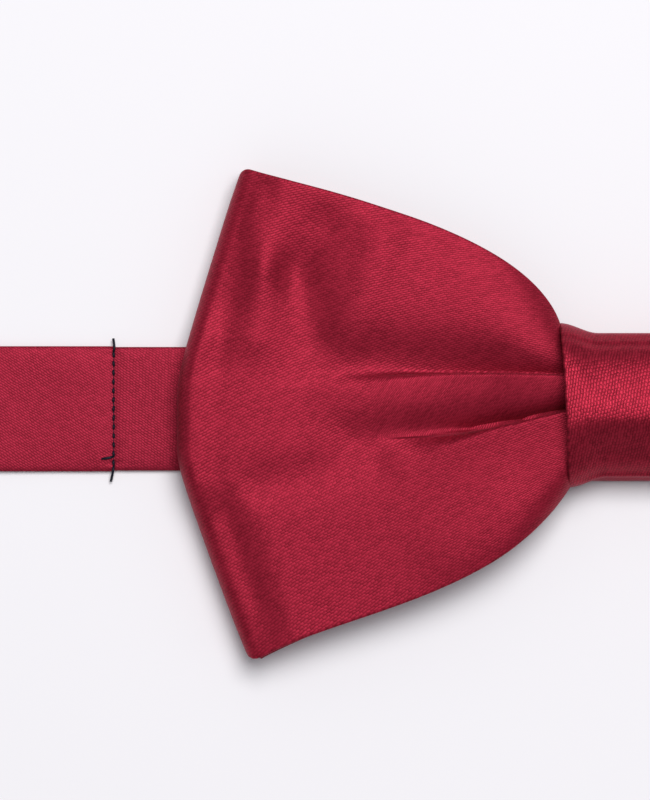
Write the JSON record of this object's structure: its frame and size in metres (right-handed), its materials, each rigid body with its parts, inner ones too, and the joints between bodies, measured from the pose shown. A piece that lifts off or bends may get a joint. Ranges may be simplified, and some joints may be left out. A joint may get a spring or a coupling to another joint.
{
  "type": "bow tie",
  "caption": "Pre-tied satin bow tie with pleated wings and a wrapped knot on a flat neckband that closes with a hook and eye and adjusts with a slider.",
  "frame": {"origin": "on the resting plane, behind the middle of the knot", "axes": "+X along the band towards the hook, +Y across the band towards the wings' upper edges, +Z out of the bow's front; it lies on its back"},
  "size_m": [0.4, 0.0615, 0.0118],
  "materials": {
    "satin": "burgundy polyester twill with a soft sheen",
    "interlining": "matt non-woven interlining, dyed to match the satin",
    "red_thread": "burgundy sewing thread",
    "navy_thread": "navy sewing thread",
    "nickel_plate": "nickel-plated stamped steel"
  },
  "bodies": {
    "bow": {"bow_loop": "satin", "bow_interlining": "interlining", "gather_thread": "red_thread", "knot_wrap": "satin", "knot_interlining": "interlining", "knot_closing_stitch": "red_thread", "bridge_band": "satin", "bridge_interlining": "interlining", "left_seam_stitch": "navy_thread", "right_seam_stitch": "navy_thread"},
    "left_band": {"left_strap": "satin", "left_strap_interlining": "interlining", "left_end_tack": "red_thread"},
    "eye": {"eye": "nickel_plate"},
    "right_band": {"right_strap": "satin", "right_strap_interlining": "interlining"},
    "adjuster": {"slider": "nickel_plate", "slider_tack": "red_thread", "right_strap_return": "satin"},
    "hook_end": {"right_strap_turn": "satin"},
    "hook": {"hook": "nickel_plate"}
  },
  "joints": [
    {"name": "left_strap_fold", "type": "hinge", "parent": "bow", "child": "left_band", "pos_m": [-0.0684, 0, 0.0012], "axis": [0, 1, 0], "range_deg": [0, 100]},
    {"name": "eye_swing", "type": "hinge", "parent": "left_band", "child": "eye", "pos_m": [-0.188, 0, 0.0022], "axis": [0, 1, 0], "range_deg": [0, 75]},
    {"name": "right_strap_fold", "type": "hinge", "parent": "bow", "child": "right_band", "pos_m": [0.0684, 0, 0.0012], "axis": [0, -1, 0], "range_deg": [0, 100]},
    {"name": "slider_slide", "type": "slide", "parent": "right_band", "child": "adjuster", "axis": [1, 0, 0], "range_m": [-0.054, 0.05]},
    {"name": "hook_end_slide", "type": "slide", "parent": "adjuster", "child": "hook_end", "axis": [1, 0, 0], "range_m": [-0.025, 0.027], "deforming": ["right_strap", "right_strap_interlining", "right_strap_return"]},
    {"name": "hook_swing", "type": "hinge", "parent": "hook_end", "child": "hook", "pos_m": [0.188, 0, 0.0022], "axis": [0, -1, 0], "range_deg": [0, 80]}
  ],
  "couplings": [
    {"joint": "hook_end_slide", "follows": "slider_slide", "ratio": -0.5}
  ]
}
